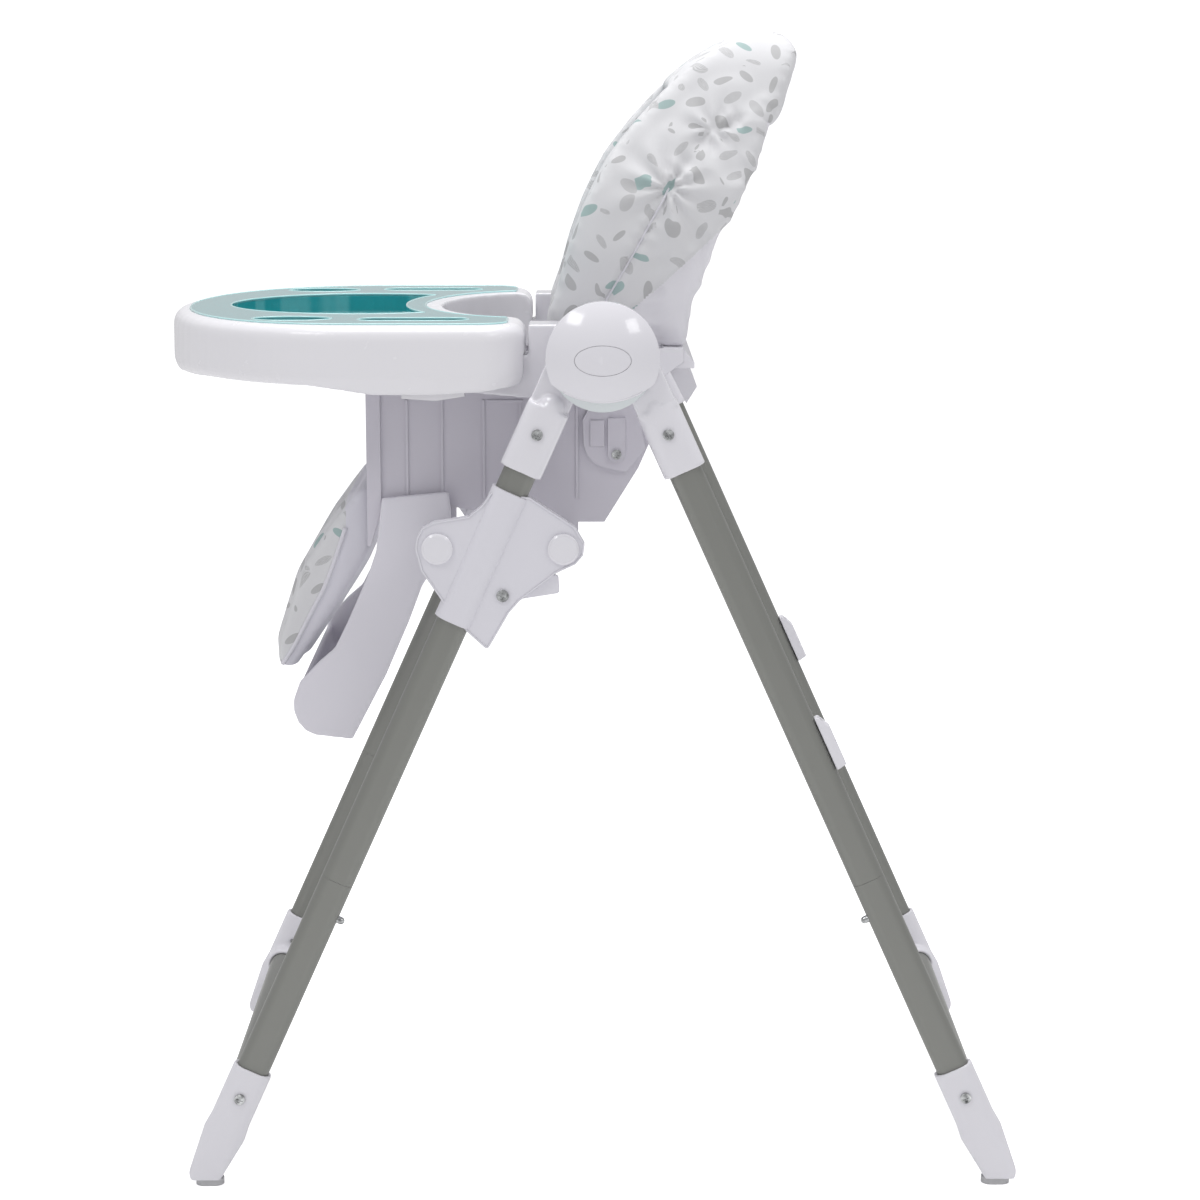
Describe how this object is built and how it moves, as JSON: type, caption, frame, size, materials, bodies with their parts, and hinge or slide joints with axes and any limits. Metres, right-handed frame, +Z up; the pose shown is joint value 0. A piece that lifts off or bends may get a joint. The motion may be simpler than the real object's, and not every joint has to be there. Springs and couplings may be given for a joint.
{
  "type": "baby high chair",
  "caption": "Folding baby high chair on oval steel legs with a sliding seat, reclining padded back, footrest, and a removable tray with a translucent insert.",
  "frame": {"origin": "on the floor below the centre of the chair", "axes": "+Z up, -Y the way the child faces, +X the child's left"},
  "size_m": [0.5588, 0.7884, 1.048],
  "materials": {
    "grey_tube": "semi-gloss grey powder coat",
    "foot_plastic": "satin white moulding",
    "sole_rubber": "dark grey rubber",
    "white_gloss": "gloss white moulding",
    "badge": "blank gloss oval",
    "button_plastic": "cool white moulding",
    "zinc_steel": "zinc plated steel",
    "axle_steel": "dark steel rod",
    "slider_plastic": "white moulding",
    "shell_plastic": "white moulding",
    "back_plastic": "white moulding",
    "printed_fabric": "wipe-clean white cloth with scattered leaf and pebble shapes",
    "webbing": "woven grey webbing",
    "buckle_plastic": "dark moulding",
    "footrest_plastic": "satin white moulding",
    "tray_plastic": "gloss white moulding",
    "insert_plastic": "translucent teal moulding"
  },
  "bodies": {
    "front_frame": {"front_upper_leg_left": "grey_tube", "front_upper_leg_right": "grey_tube", "front_lower_leg_left": "grey_tube", "front_lower_leg_right": "grey_tube", "front_crossbar": "grey_tube", "front_foot_left": "foot_plastic", "front_foot_right": "foot_plastic", "front_foot_soles": "sole_rubber", "front_hub_left": "white_gloss", "front_hub_right": "white_gloss", "front_frame_screws": "zinc_steel", "hub_cover_left": "white_gloss", "hub_cover_right": "white_gloss", "hub_badges": "badge", "hub_bolts": "zinc_steel"},
    "rear_frame": {"rear_upper_leg_left": "grey_tube", "rear_upper_leg_right": "grey_tube", "rear_lower_leg_left": "grey_tube", "rear_lower_leg_right": "grey_tube", "rear_crossbar": "grey_tube", "rear_foot_left": "foot_plastic", "rear_foot_right": "foot_plastic", "rear_foot_soles": "sole_rubber", "rear_hub_left": "white_gloss", "rear_hub_right": "white_gloss", "rear_frame_screws": "zinc_steel", "tray_hooks": "back_plastic"},
    "seat_carriage": {"height_slider_left": "slider_plastic", "height_slider_right": "slider_plastic", "slider_caps": "white_gloss", "slider_screws": "zinc_steel", "front_axle": "axle_steel", "rear_axle": "axle_steel", "seat_shell": "shell_plastic", "armrest_left": "white_gloss", "armrest_right": "white_gloss", "recline_brackets": "shell_plastic", "recline_bracket_screws": "zinc_steel", "seat_cushion": "printed_fabric", "lap_harness": "webbing", "harness_buckle": "buckle_plastic", "calf_pad": "printed_fabric"},
    "backrest": {"backrest_shell": "back_plastic", "backrest_cushion": "printed_fabric", "shoulder_straps": "webbing"},
    "recline_handle": {"recline_handle": "back_plastic"},
    "footrest": {"footrest": "footrest_plastic"},
    "tray": {"tray_base": "tray_plastic"},
    "tray_insert": {"tray_insert": "insert_plastic"},
    "tray_release_left": {"tray_release_left": "tray_plastic"},
    "tray_release_right": {"tray_release_right": "tray_plastic"},
    "fold_button_left": {"fold_button_left": "button_plastic"},
    "fold_button_right": {"fold_button_right": "button_plastic"},
    "height_lever_left": {"height_lever_left": "slider_plastic"},
    "height_lever_right": {"height_lever_right": "slider_plastic"},
    "front_snap_button_left": {"front_snap_button_left": "zinc_steel"},
    "front_snap_button_right": {"front_snap_button_right": "zinc_steel"},
    "rear_snap_button_left": {"rear_snap_button_left": "zinc_steel"},
    "rear_snap_button_right": {"rear_snap_button_right": "zinc_steel"}
  },
  "joints": [
    {"name": "frame_fold", "type": "hinge", "parent": "front_frame", "child": "rear_frame", "pos_m": [0, 0.012, 0.765], "axis": [-1, 0, 0], "range_deg": [0, 30]},
    {"name": "seat_height", "type": "slide", "parent": "front_frame", "child": "seat_carriage", "axis": [0, -0.4099, -0.9121], "range_m": [0, 0.2]},
    {"name": "recline", "type": "hinge", "parent": "seat_carriage", "child": "backrest", "pos_m": [0, 0.02, 0.722], "axis": [-1, 0, 0], "range_deg": [0, 25]},
    {"name": "recline_grip", "type": "hinge", "parent": "backrest", "child": "recline_handle", "pos_m": [0, 0.09, 0.7422], "axis": [1, 0, 0], "range_deg": [0, 8], "stiffness_Nm_per_rad": 1},
    {"name": "footrest_tilt", "type": "hinge", "parent": "seat_carriage", "child": "footrest", "pos_m": [0, -0.1348, 0.5957], "axis": [1, 0, 0], "range_deg": [0, 30]},
    {"name": "tray_slide", "type": "slide", "parent": "seat_carriage", "child": "tray", "axis": [0, -1, 0], "range_m": [0, 0.06]},
    {"name": "insert_lift", "type": "slide", "parent": "tray", "child": "tray_insert", "axis": [0, 0, 1], "range_m": [0, 0.08]},
    {"name": "tray_release_left_press", "type": "slide", "parent": "tray", "child": "tray_release_left", "axis": [0, 0, 1], "range_m": [0, 0.004], "stiffness_N_per_m": 300},
    {"name": "fold_button_left_press", "type": "slide", "parent": "front_frame", "child": "fold_button_left", "axis": [0, 0, 1], "range_m": [0, 0.005], "stiffness_N_per_m": 500},
    {"name": "height_lever_left_squeeze", "type": "hinge", "parent": "seat_carriage", "child": "height_lever_left", "pos_m": [0.2458, -0.07702, 0.55351], "axis": [1, 0, 0], "range_deg": [0, 3], "stiffness_Nm_per_rad": 0.6},
    {"name": "front_snap_button_left_press", "type": "slide", "parent": "front_frame", "child": "front_snap_button_left", "axis": [0, -0.9121, 0.4099], "range_m": [0, 0.005], "stiffness_N_per_m": 800},
    {"name": "rear_snap_button_left_press", "type": "slide", "parent": "rear_frame", "child": "rear_snap_button_left", "axis": [0, 0.9121, 0.4099], "range_m": [0, 0.005], "stiffness_N_per_m": 800},
    {"name": "tray_release_right_press", "type": "slide", "parent": "tray", "child": "tray_release_right", "axis": [0, 0, 1], "range_m": [0, 0.004], "stiffness_N_per_m": 300},
    {"name": "fold_button_right_press", "type": "slide", "parent": "front_frame", "child": "fold_button_right", "axis": [0, 0, 1], "range_m": [0, 0.005], "stiffness_N_per_m": 500},
    {"name": "height_lever_right_squeeze", "type": "hinge", "parent": "seat_carriage", "child": "height_lever_right", "pos_m": [-0.2458, -0.07702, 0.55351], "axis": [1, 0, 0], "range_deg": [0, 3], "stiffness_Nm_per_rad": 0.6},
    {"name": "front_snap_button_right_press", "type": "slide", "parent": "front_frame", "child": "front_snap_button_right", "axis": [0, -0.9121, 0.4099], "range_m": [0, 0.005], "stiffness_N_per_m": 800},
    {"name": "rear_snap_button_right_press", "type": "slide", "parent": "rear_frame", "child": "rear_snap_button_right", "axis": [0, 0.9121, 0.4099], "range_m": [0, 0.005], "stiffness_N_per_m": 800}
  ]
}
